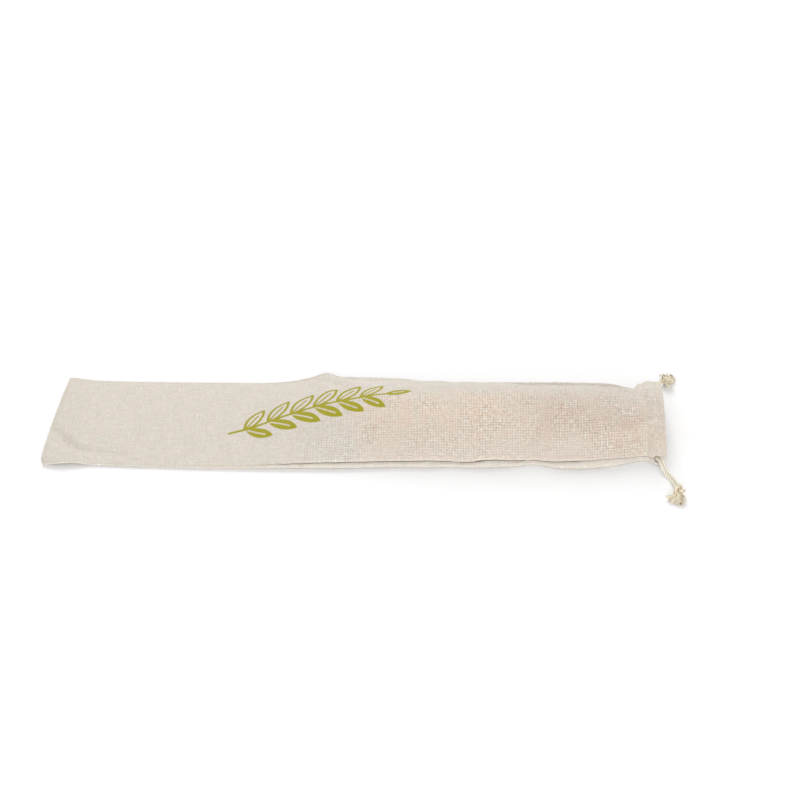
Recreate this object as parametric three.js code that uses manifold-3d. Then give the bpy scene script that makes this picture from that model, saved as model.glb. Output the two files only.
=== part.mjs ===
// A long, narrow drawstring bag of plain linen, lying on its back panel. Millimetres, +Z up.
// X runs from the closed end to the mouth, Y from the near side to the far side.
// The closed end lies flat. A quarter of the way along, the cloth starts to rise to a rounded hollow
// that stays open to the mouth, where a doubled hem carries the drawcords, knotted at each side.
import * as THREE from "three";
import { mergeVertices } from "three/addons/utils/BufferGeometryUtils.js";
import Module from "manifold-3d";

const wasm = await Module();
wasm.setup();

// Driving dimensions
const LENGTH = 660; // closed end to mouth
const WIDTH = 154; // near edge to far edge, at rest
const MIDDLE = { x: 329.6, y: 76.05 }; // of the bag's outline, above the origin
const CLOTH = 1; // one layer of linen
const GAP = 0.3; // between pieces that meet
const SEAM_GAP = 0.5; // between the panels along their sewn edges
const HEM = 25; // width of the doubled hem at the mouth
const HEM_STEP = 2; // length over which the hem's second layer begins
const CORD_LINE = 649; // where the drawcord runs through the hem
const CORD_RIDGE = { height: 0.8, halfWidth: 6 }; // how the cord lifts the hem
// The unsewn stretch of each side seam, where the cords come out, and how far the edges of the front
// and the back panel draw back there. Both are open up to the mouth.
const NEAR_SLIT = { from: 645.5, to: 662.5, ease: 3, front: 3.8, back: 3.8 };
const FAR_SLIT = { from: 632.5, to: 664, ease: 4, front: 4.6, back: 11.5 };
const CORD_DIAMETER = 3;
const CORD_PLY = { depth: 0.1, pitch: 11, step: 1.6, sides: 8 }; // the two plies of the twisted cord
const KNOT = { radius: 6.2, neck: 3.4, clear: 0.34, lead: 2.5, wraps: 3, groove: 0.14, sides: 14, steps: 18 };
// The frayed strands: how many, how they leave the knot at frayAt of its length, how long, thick and
// high they are, and how wide they fan. The shares spread them evenly over those ranges.
const FRAY = { strands: 20, frayAt: 0.86, shortest: 9, longest: 15, fan: 1.5, sides: 4, steps: 2 };
const FRAY_RADIUS = { root: 1.1, tip: 0.5 };
const FRAY_HEIGHT = { rootLow: 1.6, rootHigh: 5, tipLow: 0.5, tipHigh: 3.2, arch: 0.8, archAt: 0.55 };
const FRAY_SHARES = { turn: 0.618, reach: 0.755, rise: 0.382 };
const EDGE_ROLL = { bulge: 1.15, foot: 0.5 }; // shares of the seam's height, on the back panel's edges
const EDGE_FADE = 0.1; // share of the width over which the folds fade out towards a seam
const WELD = 1e-4; // distance at which two vertices are one
const FLOOR = CLOTH / 2; // middle of the back panel where it lies on the surface
const STACKED = FLOOR + CLOTH + SEAM_GAP; // middle of the front panel where it lies on the back panel

// Each row is a section across the bag: its near seam, its crown and its far seam, at the middle of
// the cloth. crownRound is the radius of the ridge along the crown.
const SECTION_COLUMNS = "x nearY nearZ crownY crownZ crownRound farY farZ".split(" ");
const SECTIONS = [
  [0, -0.6, 1.9, 80, 1.9, 60, 156.0, 1.9],
  [8, -1.2, 2.6, 80, 4.6, 60, 154.6, 2.6],
  [36, 0.2, 2.6, 78, 7.6, 60, 149.8, 2.6],
  [110, -2.2, 2.6, 75, 7.2, 60, 147.8, 2.6],
  [170, -4.2, 2.8, 73, 7.6, 60, 147.3, 2.8],
  [215, -3.6, 3.8, 70, 11.0, 55, 147.5, 2.8],
  [250, -2.2, 5.2, 69, 19.0, 48, 148.5, 4.2],
  [274, -1.6, 6.0, 68, 25.0, 42, 149.0, 8.8],
  [294, -1.2, 6.6, 68, 30.0, 38, 148.5, 15.2],
  [308, -1.0, 6.8, 68, 33.0, 36, 149.0, 10.8],
  [340, 0.2, 7.0, 68, 39.0, 32, 149.0, 10.4],
  [377, 1.5, 6.9, 67, 44.2, 28, 148.4, 9.9],
  [405, 1.7, 7.6, 67, 46.7, 26, 144.9, 9.0],
  [430, 2.4, 6.4, 67, 48.2, 25, 143.5, 9.0],
  [448, 1.4, 6.3, 66, 49.0, 25, 142.8, 9.0],
  [472, 2.8, 8.4, 66, 49.8, 24, 142.1, 9.0],
  [493, 3.7, 7.1, 66, 50.0, 24, 142.0, 9.0],
  [517, 7.4, 4.9, 66, 50.0, 24, 142.0, 9.0],
  [530, 5.1, 5.4, 66, 50.0, 24, 142.0, 9.0],
  [548, 1.8, 7.7, 66, 50.0, 24, 142.0, 9.0],
  [567, 1.6, 8.8, 66, 49.9, 24, 141.9, 9.0],
  [583, 3.3, 8.8, 66, 49.7, 24, 141.7, 9.0],
  [602, 6.7, 8.1, 66, 49.0, 25, 140.2, 9.0],
  [615, 10.2, 6.6, 66, 48.0, 26, 137.5, 9.0],
  [622, 12.3, 5.6, 66, 47.2, 27, 135.1, 9.0],
  [635.4, 15.2, 5.0, 67, 46.0, 30, 131.2, 9.0],
  [636.6, 15.2, 5.0, 67, 46.0, 30, 141.4, 8.6],
  [639, 14.8, 5.2, 67, 46.0, 30, 144.6, 8.4],
  [642, 13.0, 5.6, 67, 46.5, 30, 147.0, 8.4],
  [647, 10.2, 6.1, 67, 47.5, 30, 149.3, 8.4],
  [653, 8.2, 5.9, 67, 48.4, 30, 146.6, 8.2],
  [660, 6.5, 5.0, 67, 49.0, 30, 140.6, 7.4],
];

// Each row is a soft fold of the front panel, a ridge or, where its height is below zero, a trough,
// from one point to another.
const FOLD_COLUMNS = "fromX fromY toX toY halfWidth height".split(" ");
const FOLDS = [
  [6, 48, 29, 23, 13, -3.4], // behind the lifted corner
  [29, 23, 80, 11, 11, -2.6],
  [294, 150, 324, 112, 17, 4.0], // the buckle on the far edge
  [308, 146, 380, 132, 15, -2.6],
  [300, 96, 420, 128, 18, 1.8],
  [214, 36, 300, 24, 22, -1.8],
  [490, 126, 600, 124, 24, 1.4], // along the far shoulder
  [486, 112, 560, 108, 14, -1.6],
  [514, 12, 520, 44, 13, -1.3], // where the near edge is drawn in
  [546, 20, 600, 30, 15, 1.8],
  [604, 26, 640, 40, 12, 2.2], // gathers below the hem
  [610, 58, 640, 60, 11, -1.8],
  [606, 84, 642, 80, 12, 2.0],
  [600, 112, 640, 104, 13, -2.2],
];

// The outline at the two ends, and the near edge by the closed end, which lifts off the surface.
const CLOSED_END = { near: -5, far: 2, reach: 130, corner: 4, cornerWidth: 12 };
const MOUTH_END = { far: 7, crown: -3, reach: 60, back: -5, backReach: 16 };
const EDGE_LIFT = { x: 24, y: -2, radius: 30, front: 3.0, back: 2.2 };

// Grid lines: each row is where a stretch of sections ends and how many steps it has.
const STRETCHES = [
  [12, 3],
  [84, 6],
  [250, 7],
  [294, 5],
  [330, 5],
  [620, 14],
  [635.4, 4],
  [636.6, 1],
  [642, 4],
  [LENGTH, 9],
];
const FRONT_STEPS = 24;
const ROLL_STEPS = 5; // around each rolled edge of the back panel
const FLAT_STEPS = 7; // across its flat middle, closer together towards the near side

// Middle line between the two strands of each drawcord, from inside the hem to the knot.
const NEAR_ROUTE = [
  [649.6, 15.8, 4.4],
  [651.2, 10.2, 5.9],
  [652.6, 5.0, 6.8],
  [653.9, -0.2, 6.0],
  [655.4, -5.4, 4.0],
  [657.8, -10.6, 2.2],
  [660.9, -15.8, 1.6],
  [663.4, -22.4, 1.6],
  [665.2, -29.6, 2.6],
  [666.2, -36.4, 4.2],
];
const NEAR_KNOT = [
  [667.0, -43.4, 6.8],
  [666.2, -49.4, 4.6],
];
const NEAR_FRAY_HEADING = -2.05; // radians from +X
const FAR_ROUTE = [
  [650.6, 123.5, 4.4],
  [652.0, 131.5, 4.4],
  [653.8, 138.0, 4.7],
  [656.2, 143.8, 5.3],
  [659.4, 148.4, 5.4],
  [663.2, 151.4, 3.8],
  [666.6, 152.8, 3.2],
  [669.4, 153.4, 4.2],
];
const FAR_KNOT = [
  [676.4, 153.6, 6.8],
  [680.0, 158.0, 4.6],
];
const FAR_FRAY_HEADING = 1.5;

const linen = new THREE.MeshStandardMaterial({ color: "#dccfc0", roughness: 0.92 });
const cotton = new THREE.MeshStandardMaterial({ color: "#ded6bd", roughness: 0.95 });

const clamp = (value) => Math.min(1, Math.max(0, value));
const ease = (value) => clamp(value) ** 2 * (3 - 2 * clamp(value));
const mix = (from, to, share) => from + (to - from) * share;
const bell = (value) => Math.max(0, 1 - value * value) ** 2;
const named = (columns, row) => Object.fromEntries(columns.map((name, i) => [name, row[i]]));

// A smooth curve through a column of the sections that never overshoots its rows.
function columnCurve(xs, ys) {
  const last = xs.length - 1;
  const slopes = ys.slice(1).map((y, i) => (y - ys[i]) / (xs[i + 1] - xs[i]));
  const tangents = ys.map((_, i) => {
    if (i === 0 || i === last) return slopes[i === 0 ? 0 : last - 1];
    const before = slopes[i - 1];
    const after = slopes[i];
    return before * after <= 0 ? 0 : (2 * before * after) / (before + after);
  });
  return (x) => {
    let i = 0;
    while (i < last - 1 && x > xs[i + 1]) i += 1;
    const span = xs[i + 1] - xs[i];
    const t = (x - xs[i]) / span;
    const rise = ys[i + 1] - ys[i];
    const [a, b] = [tangents[i] * span, tangents[i + 1] * span];
    return ys[i] + t * (a + t * (3 * rise - 2 * a - b + t * (a + b - 2 * rise)));
  };
}

const sectionXs = SECTIONS.map((row) => row[0]);
const sectionCurves = SECTION_COLUMNS.map((_, i) => columnCurve(sectionXs, SECTIONS.map((row) => row[i])));
const sectionAt = (x) => named(SECTION_COLUMNS, sectionCurves.map((curve) => curve(x)));
const folds = FOLDS.map((row) => named(FOLD_COLUMNS, row));

// Height that the folds add to the front panel at a point.
function foldHeight(x, y) {
  let height = 0;
  for (const fold of folds) {
    const [runX, runY] = [fold.toX - fold.fromX, fold.toY - fold.fromY];
    const along = clamp(((x - fold.fromX) * runX + (y - fold.fromY) * runY) / (runX ** 2 + runY ** 2));
    const away = Math.hypot(x - fold.fromX - along * runX, y - fold.fromY - along * runY);
    height += fold.height * bell(away / fold.halfWidth);
  }
  return height;
}

// Height of the front panel above its section's seams: a rounded ridge with straight flanks.
function tentHeight(section, y) {
  const near = y < section.crownY;
  const [seamY, seamZ] = near ? [section.nearY, section.nearZ] : [section.farY, section.farZ];
  const drop = (at) => Math.hypot(at - section.crownY, section.crownRound) - section.crownRound;
  return section.crownZ - ((section.crownZ - seamZ) * drop(y)) / drop(seamY);
}

// Moves a point of the plain section to the bag's real outline and lifts the near edge by the corner.
// backShare is 0 on the front panel and 1 on the back panel, whose mouth edge lies further in.
function settle(x, y, z, backShare) {
  const across = clamp(y / WIDTH);
  const corner = CLOSED_END.corner * ease(1 - y / CLOSED_END.cornerWidth);
  const end = mix(CLOSED_END.near, CLOSED_END.far, across ** 2) + corner;
  const mouth = MOUTH_END.far * across ** 3 + MOUTH_END.crown * Math.sin(Math.PI * across);
  const nearness = (reach) => ease((x - LENGTH) / reach + 1);
  const placedX =
    x +
    end * ease(1 - x / CLOSED_END.reach) +
    mouth * nearness(MOUTH_END.reach) +
    MOUTH_END.back * backShare * nearness(MOUTH_END.backReach);
  const lift = mix(EDGE_LIFT.front, EDGE_LIFT.back, backShare);
  const away = Math.hypot(placedX - EDGE_LIFT.x, y - EDGE_LIFT.y);
  return new THREE.Vector3(placedX, y, z + lift * bell(away / EDGE_LIFT.radius));
}

// How far a panel's edge lies from the line of its side seam: sewn close, but drawn back at its slit.
function edgeGap(x, slit, panel) {
  const open = ease((x - slit.from) / slit.ease) * ease((slit.to - x) / slit.ease);
  return mix(SEAM_GAP / 2, slit[panel], open);
}

// Points across the front panel, from the near seam to the far seam.
function frontSection(x) {
  const section = sectionAt(x);
  const width = section.farY - section.nearY;
  const slope = (from, to) => (tentHeight(section, to) - tentHeight(section, from)) / (to - from);
  const nearCut = edgeGap(x, NEAR_SLIT, "front") / Math.hypot(1, slope(section.nearY, section.nearY + 1));
  const farCut = edgeGap(x, FAR_SLIT, "front") / Math.hypot(1, slope(section.farY - 1, section.farY));
  return Array.from({ length: FRONT_STEPS + 1 }, (_, i) => {
    const y = mix(section.nearY + nearCut, section.farY - farCut, i / FRONT_STEPS);
    const fade = EDGE_FADE * width;
    const inside = ease((y - section.nearY) / fade) * ease((section.farY - y) / fade);
    const height = tentHeight(section, y) + foldHeight(x, y) * inside;
    return settle(x, y, Math.max(STACKED, height), 0);
  });
}

// The rolled edge of the back panel, from its seam to where it lies on the surface. out is -1 on the
// near side and 1 on the far side. The roll starts along the front panel's flank.
function rolledEdge(section, seamY, seamZ, out) {
  const height = seamZ - FLOOR;
  const flank = tentHeight(section, seamY) - tentHeight(section, seamY - out);
  const handle = EDGE_ROLL.bulge * height;
  const start = new THREE.Vector2(seamY, seamZ);
  const run = new THREE.Vector2(out, flank).normalize().multiplyScalar(handle);
  const foot = new THREE.Vector2(seamY - out * EDGE_ROLL.foot * height, FLOOR);
  return new THREE.CubicBezierCurve(
    start,
    start.clone().add(run),
    foot.clone().add(new THREE.Vector2(out * handle, 0)),
    foot,
  );
}

// Points across the back panel, from the far seam round under the bag to the near seam.
function backSection(x) {
  const section = sectionAt(x);
  const far = rolledEdge(section, section.farY, section.farZ, 1);
  const near = rolledEdge(section, section.nearY, section.nearZ, -1);
  const along = (roll, slit, i) => {
    const start = edgeGap(x, slit, "back") / (3 * roll.v0.distanceTo(roll.v1));
    return roll.getPoint(mix(start, 1, i / ROLL_STEPS));
  };
  const points = [];
  for (let i = 0; i < ROLL_STEPS; i += 1) points.push(along(far, FAR_SLIT, i));
  for (let i = 0; i <= FLAT_STEPS; i += 1) {
    points.push(far.v3.clone().lerp(near.v3, 1 - (1 - i / FLAT_STEPS) ** 2));
  }
  for (let i = ROLL_STEPS - 1; i >= 0; i -= 1) points.push(along(near, NEAR_SLIT, i));
  return points.map((point) => settle(x, point.x, point.y, 1));
}

// A closed sheet about a grid of middle points, whose rows run along X and whose columns run round
// the bag with the outside on the left. outside and inside give its thickness each way at a row's x.
function sheetGeometry(xs, grid, outside, inside) {
  const [rows, columns] = [grid.length, grid[0].length];
  const at = (i, j) => grid[Math.min(rows - 1, Math.max(0, i))][Math.min(columns - 1, Math.max(0, j))];
  const vertices = [];
  for (const side of [1, -1]) {
    for (let i = 0; i < rows; i += 1) {
      for (let j = 0; j < columns; j += 1) {
        const along = at(i + 1, j).clone().sub(at(i - 1, j));
        const across = at(i, j + 1).clone().sub(at(i, j - 1));
        const normal = along.cross(across).normalize();
        const depth = side > 0 ? outside(xs[i]) : -inside(xs[i]);
        vertices.push(...at(i, j).clone().addScaledVector(normal, depth));
      }
    }
  }
  const outer = (i, j) => i * columns + j;
  const inner = (i, j) => rows * columns + outer(i, j);
  const triangles = [];
  for (let i = 0; i + 1 < rows; i += 1) {
    for (let j = 0; j + 1 < columns; j += 1) {
      const [a, b, c, d] = [outer(i, j), outer(i + 1, j), outer(i + 1, j + 1), outer(i, j + 1)];
      const [e, f, g, h] = [inner(i, j), inner(i + 1, j), inner(i + 1, j + 1), inner(i, j + 1)];
      triangles.push(a, b, c, a, c, d, e, g, f, e, h, g);
    }
  }
  const rim = [];
  for (let i = 0; i < rows - 1; i += 1) rim.push([i, 0]);
  for (let j = 0; j < columns - 1; j += 1) rim.push([rows - 1, j]);
  for (let i = rows - 1; i > 0; i -= 1) rim.push([i, columns - 1]);
  for (let j = columns - 1; j > 0; j -= 1) rim.push([0, j]);
  rim.forEach((from, k) => {
    const to = rim[(k + 1) % rim.length];
    const [a, b, c, d] = [outer(...to), outer(...from), inner(...from), inner(...to)];
    triangles.push(a, b, c, a, c, d);
  });
  return geometryOf(vertices, triangles);
}

function geometryOf(vertices, triangles) {
  return new THREE.BufferGeometry()
    .setAttribute("position", new THREE.Float32BufferAttribute(vertices, 3))
    .setIndex(triangles);
}

// A closed tube along a curve. radiusAt gives the radius from the share of the length and the angle.
function tubeGeometry(curve, steps, sides, radiusAt) {
  const frames = curve.computeFrenetFrames(steps, false);
  const vertices = [];
  for (let i = 0; i <= steps; i += 1) {
    const centre = curve.getPointAt(i / steps);
    for (let j = 0; j < sides; j += 1) {
      const angle = (j / sides) * 2 * Math.PI;
      const radius = radiusAt(i / steps, angle);
      const point = centre.clone().addScaledVector(frames.normals[i], radius * Math.cos(angle));
      vertices.push(...point.addScaledVector(frames.binormals[i], radius * Math.sin(angle)));
    }
  }
  const triangles = [];
  const ring = (i, j) => i * sides + (j % sides);
  for (let i = 0; i < steps; i += 1) {
    for (let j = 0; j < sides; j += 1) {
      const [a, b, c, d] = [ring(i, j), ring(i, j + 1), ring(i + 1, j + 1), ring(i + 1, j)];
      triangles.push(a, b, c, a, c, d);
    }
  }
  const [start, end] = [(steps + 1) * sides, (steps + 1) * sides + 1];
  vertices.push(...curve.getPointAt(0), ...curve.getPointAt(1));
  for (let j = 0; j < sides; j += 1) {
    triangles.push(start, ring(0, j + 1), ring(0, j), end, ring(steps, j), ring(steps, j + 1));
  }
  return geometryOf(vertices, triangles);
}

// Joins closed geometries that run into each other.
function joined(geometries) {
  const solids = geometries.map((geometry) => {
    const merged = mergeVertices(geometry, WELD);
    const vertProperties = new Float32Array(merged.attributes.position.array);
    const triVerts = new Uint32Array(merged.index.array);
    return new wasm.Manifold(new wasm.Mesh({ numProp: 3, vertProperties, triVerts }));
  });
  const mesh = solids.reduce((whole, solid) => whole.add(solid)).getMesh();
  return geometryOf([...mesh.vertProperties], [...mesh.triVerts]);
}

const sectionStations = [0];
for (const [end, steps] of STRETCHES) {
  const start = sectionStations.at(-1);
  for (let i = 1; i <= steps; i += 1) sectionStations.push(mix(start, end, i / steps));
}

const hemLayer = (x) => CLOTH * ease((x - (LENGTH - HEM)) / HEM_STEP + 0.5);
const cordRidge = (x) => CORD_RIDGE.height * bell((x - CORD_LINE) / CORD_RIDGE.halfWidth);
const insideLayers = (x) => CLOTH / 2 + hemLayer(x);

function frontPanel() {
  const grid = sectionStations.map(frontSection);
  return sheetGeometry(sectionStations, grid, (x) => CLOTH / 2 + cordRidge(x), insideLayers);
}

function backPanel() {
  const grid = sectionStations.map(backSection);
  return sheetGeometry(sectionStations, grid, () => CLOTH / 2, insideLayers);
}

// One strand of a drawcord, beside the middle line of the pair: side is -1 or 1.
function cordStrand(route, side) {
  const middle = new THREE.CatmullRomCurve3(route.map((point) => new THREE.Vector3(...point)));
  const beside = (side * (CORD_DIAMETER + GAP)) / 2;
  const points = route.map((point, i) => {
    const heading = middle.getTangent(i / (route.length - 1));
    const across = new THREE.Vector3(heading.y, -heading.x, 0).normalize();
    return new THREE.Vector3(...point).addScaledVector(across, beside);
  });
  const curve = new THREE.CatmullRomCurve3(points);
  const length = curve.getLength();
  const plies = (share, angle) => Math.cos(2 * (angle - (Math.PI * share * length) / CORD_PLY.pitch));
  return tubeGeometry(
    curve,
    Math.round(length / CORD_PLY.step),
    CORD_PLY.sides,
    (share, angle) => (CORD_DIAMETER / 2) * (1 - CORD_PLY.depth * (1 - plies(share, angle))),
  );
}

// An overhand knot, as a barrel with slanting wraps, and the frayed strands that leave it.
function cordKnot(route, knot, heading) {
  const middle = new THREE.CatmullRomCurve3(route.map((point) => new THREE.Vector3(...point)));
  const ahead = (distance) => middle.getPoint(1).addScaledVector(middle.getTangent(1), distance);
  const axis = new THREE.CatmullRomCurve3([
    ahead(KNOT.clear),
    ahead(KNOT.lead),
    ...knot.map((point) => new THREE.Vector3(...point)),
  ]);
  const barrel = tubeGeometry(axis, KNOT.steps, KNOT.sides, (share, angle) => {
    const swell = mix(KNOT.neck, KNOT.radius, Math.sqrt(Math.sin(Math.PI * share)));
    const wrap = Math.abs(Math.cos(Math.PI * KNOT.wraps * share + angle / 2));
    return swell * (1 - KNOT.groove * (1 - wrap));
  });
  const root = axis.getPointAt(FRAY.frayAt);
  const strands = Array.from({ length: FRAY.strands }, (_, i) => {
    const spread = (share) => (i * share) % 1;
    const bearing = heading + FRAY.fan * (spread(FRAY_SHARES.turn) - 0.5);
    const length = mix(FRAY.shortest, FRAY.longest, spread(FRAY_SHARES.reach));
    const rise = spread(FRAY_SHARES.rise);
    const tipZ = mix(FRAY_HEIGHT.tipLow, FRAY_HEIGHT.tipHigh, rise);
    const archZ = Math.max(tipZ + FRAY_HEIGHT.arch, FRAY_RADIUS.root);
    const rootZ = mix(FRAY_HEIGHT.rootLow, FRAY_HEIGHT.rootHigh, rise);
    const along = (distance, z) =>
      new THREE.Vector3(root.x + distance * Math.cos(bearing), root.y + distance * Math.sin(bearing), z);
    const curve = new THREE.CatmullRomCurve3([
      along(0, rootZ),
      along(FRAY_HEIGHT.archAt * length, archZ),
      along(length, tipZ),
    ]);
    const radiusAt = (share) => mix(FRAY_RADIUS.root, FRAY_RADIUS.tip, share);
    return tubeGeometry(curve, FRAY.steps, FRAY.sides, radiusAt);
  });
  return joined([barrel, ...strands]);
}

const bag = new THREE.Group();
bag.position.set(-MIDDLE.x, -MIDDLE.y, 0);
const pieces = [
  ["upper_panel", frontPanel(), linen],
  ["lower_panel", backPanel(), linen],
  ["near_cord_a", cordStrand(NEAR_ROUTE, 1), cotton],
  ["near_cord_b", cordStrand(NEAR_ROUTE, -1), cotton],
  ["near_knot", cordKnot(NEAR_ROUTE, NEAR_KNOT, NEAR_FRAY_HEADING), cotton],
  ["far_cord_a", cordStrand(FAR_ROUTE, 1), cotton],
  ["far_cord_b", cordStrand(FAR_ROUTE, -1), cotton],
  ["far_knot", cordKnot(FAR_ROUTE, FAR_KNOT, FAR_FRAY_HEADING), cotton],
];
for (const [name, geometry, material] of pieces) {
  const piece = new THREE.Mesh(geometry, material);
  piece.name = name;
  bag.add(piece);
}
const part = new THREE.Group();
part.add(bag);

export default part;
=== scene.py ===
"""A long, narrow drawstring bag of plain linen, lying on its back panel, with two knotted drawcords.

Sizes are millimetres in the bag's own frame: X runs from the closed end to the mouth, Y from the near
side to the far side, Z up. placed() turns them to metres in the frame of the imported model.
"""
import math

import bpy
import numpy as np
from mathutils import Matrix, Vector


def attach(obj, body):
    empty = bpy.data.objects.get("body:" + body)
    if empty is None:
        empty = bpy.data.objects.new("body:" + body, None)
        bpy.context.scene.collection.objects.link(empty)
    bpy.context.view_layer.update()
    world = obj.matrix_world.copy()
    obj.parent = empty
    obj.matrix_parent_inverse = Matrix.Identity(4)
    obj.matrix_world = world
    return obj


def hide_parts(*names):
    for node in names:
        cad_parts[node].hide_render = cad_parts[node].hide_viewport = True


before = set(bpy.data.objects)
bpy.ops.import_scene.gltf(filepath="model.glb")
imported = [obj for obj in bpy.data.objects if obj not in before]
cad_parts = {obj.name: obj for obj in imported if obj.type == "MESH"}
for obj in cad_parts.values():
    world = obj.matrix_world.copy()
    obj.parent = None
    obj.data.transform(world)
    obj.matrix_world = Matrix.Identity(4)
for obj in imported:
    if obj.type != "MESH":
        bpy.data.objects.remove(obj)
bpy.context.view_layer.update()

BODY = "root"
MM = 0.001
MIDDLE = (329.6, 76.05, 0.0)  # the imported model's origin in the bag's own frame

# The bag's main sizes
LENGTH = 660.0
WIDTH = 154.0
CLOTH = 0.8
HEM = 25.0
HEM_STEP = 2.0
CORD_LINE = 649.0
CORD_RIDGE = {"height": 0.8, "half_width": 6.0}
# The unsewn stretch of each side seam, and how far the two panels' edges draw back there
NEAR_SLIT = {"start": 645.5, "end": 662.5, "ease": 3.0, "front": 3.8, "back": 3.8}
FAR_SLIT = {"start": 632.5, "end": 664.0, "ease": 4.0, "front": 4.6, "back": 11.5}
CORD_DIAMETER = 3.0
CORD_GAP = 0.3
FLOOR = CLOTH / 2  # middle of the back panel where it lies on the surface
STACKED = 2.0  # middle of the front panel where it lies on the back panel

# Each row is a section across the bag: its near seam, its crown and its far seam.
SECTION_COLUMNS = ("x", "near_y", "near_z", "crown_y", "crown_z", "crown_round", "far_y", "far_z")
SECTIONS = [
    (0, -0.6, 1.9, 80, 1.9, 60, 156.0, 1.9),
    (8, -1.2, 2.6, 80, 4.6, 60, 154.6, 2.6),
    (36, 0.2, 2.6, 78, 7.6, 60, 149.8, 2.6),
    (110, -2.2, 2.6, 75, 7.2, 60, 147.8, 2.6),
    (170, -4.2, 2.8, 73, 7.6, 60, 147.3, 2.8),
    (215, -3.6, 3.8, 70, 11.0, 55, 147.5, 2.8),
    (250, -2.2, 5.2, 69, 19.0, 48, 148.5, 4.2),
    (274, -1.6, 6.0, 68, 25.0, 42, 149.0, 8.8),
    (294, -1.2, 6.6, 68, 30.0, 38, 148.5, 15.2),
    (308, -1.0, 6.8, 68, 33.0, 36, 149.0, 10.8),
    (340, 0.2, 7.0, 68, 39.0, 32, 149.0, 10.4),
    (377, 1.5, 6.9, 67, 44.2, 28, 148.4, 9.9),
    (405, 1.7, 7.6, 67, 46.7, 26, 144.9, 9.0),
    (430, 2.4, 6.4, 67, 48.2, 25, 143.5, 9.0),
    (448, 1.4, 6.3, 66, 49.0, 25, 142.8, 9.0),
    (472, 2.8, 8.4, 66, 49.8, 24, 142.1, 9.0),
    (493, 3.7, 7.1, 66, 50.0, 24, 142.0, 9.0),
    (517, 7.4, 4.9, 66, 50.0, 24, 142.0, 9.0),
    (530, 5.1, 5.4, 66, 50.0, 24, 142.0, 9.0),
    (548, 1.8, 7.7, 66, 50.0, 24, 142.0, 9.0),
    (567, 1.6, 8.8, 66, 49.9, 24, 141.9, 9.0),
    (583, 3.3, 8.8, 66, 49.7, 24, 141.7, 9.0),
    (602, 6.7, 8.1, 66, 49.0, 25, 140.2, 9.0),
    (615, 10.2, 6.6, 66, 48.0, 26, 137.5, 9.0),
    (622, 12.3, 5.6, 66, 47.2, 27, 135.1, 9.0),
    (635.4, 15.2, 5.0, 67, 46.0, 30, 131.2, 9.0),
    (636.6, 15.2, 5.0, 67, 46.0, 30, 141.4, 8.6),
    (639, 14.8, 5.2, 67, 46.0, 30, 144.6, 8.4),
    (642, 13.0, 5.6, 67, 46.5, 30, 147.0, 8.4),
    (647, 10.2, 6.1, 67, 47.5, 30, 149.3, 8.4),
    (653, 8.2, 5.9, 67, 48.4, 30, 146.6, 8.2),
    (660, 6.5, 5.0, 67, 49.0, 30, 140.6, 7.4),
]

# Each row is a fold of the front panel, a ridge or, where its height is below zero, a trough.
FOLD_COLUMNS = ("from_x", "from_y", "to_x", "to_y", "half_width", "height")
FOLDS = [
    (6, 48, 29, 23, 13, -3.4),  # behind the lifted corner
    (29, 23, 80, 11, 11, -2.6),
    (294, 150, 324, 112, 17, 4.0),  # the buckle on the far edge
    (308, 146, 380, 132, 15, -2.6),
    (300, 96, 420, 128, 18, 1.8),
    (214, 36, 300, 24, 22, -1.8),
    (446, 126, 480, 125, 24, 1.4),  # along the far shoulder
    (520, 114, 618, 106, 24, -4.2),
    (514, 12, 520, 44, 13, -1.3),  # where the near edge is drawn in
    (546, 20, 600, 30, 15, 1.8),
    (604, 26, 640, 40, 12, 2.2),  # gathers below the hem
    (610, 58, 640, 60, 11, -1.8),
    (606, 84, 642, 80, 12, 2.0),
    (610, 108, 640, 100, 13, -1.4),
]
# The fine creases that lie on those folds
CREASES = [
    (8, 46, 29, 24, 6, -0.7),
    (29, 24, 78, 12, 5, -0.6),
    (292, 151, 316, 128, 5, 0.9),
    (304, 148, 330, 130, 5, -0.9),
    (446, 127, 484, 126, 7, 0.5),
    (512, 10, 517, 40, 5, -0.7),
    (522, 12, 526, 34, 4, 0.4),
    (436, 6, 452, 16, 6, -0.7),
    (460, 4, 474, 18, 6, 0.7),
    (600, 20, 638, 30, 5, -0.9),
    (612, 40, 639, 46, 5, 0.8),
    (616, 70, 640, 69, 5, -0.8),
    (612, 94, 640, 91, 5, 0.9),
    (606, 120, 638, 113, 5, 0.8),
]

# The outline at the two ends, and the near edge by the closed end, which lifts off the surface
CLOSED_END = {"near": -5.0, "far": 2.0, "reach": 130.0, "corner": 4.0, "corner_width": 12.0}
MOUTH_END = {"far": 7.0, "crown": -3.0, "reach": 60.0, "back": -5.0, "back_reach": 16.0}
EDGE_LIFT = {"x": 24.0, "y": -2.0, "radius": 30.0, "front": 3.0, "back": 2.9}
EDGE_ROLL = {"bulge": 1.15, "foot": 0.5}
EDGE_FADE = 0.1  # share of the width over which the folds fade out towards the seams
RUMPLE = {"height": 0.3, "pitch": 34.0}

# The sewn edges: how deep the two panels turn in at a seam, over what width, and its puckers
SEAM = {"flat_height": 2.6, "flat_depth": 0.08, "flat_gap": 0.1, "height": 6.0, "depth": 1.6, "gap": 0.6}
SEAM_TURN = {"width": 2.4, "end_depth": 0.28}
SEAM_WAVER = {"share": 0.25, "pitch": 23.0}
SEAM_EASED = {"start": 555.0, "over": 38.0, "share": 0.35}  # towards the mouth
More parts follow.
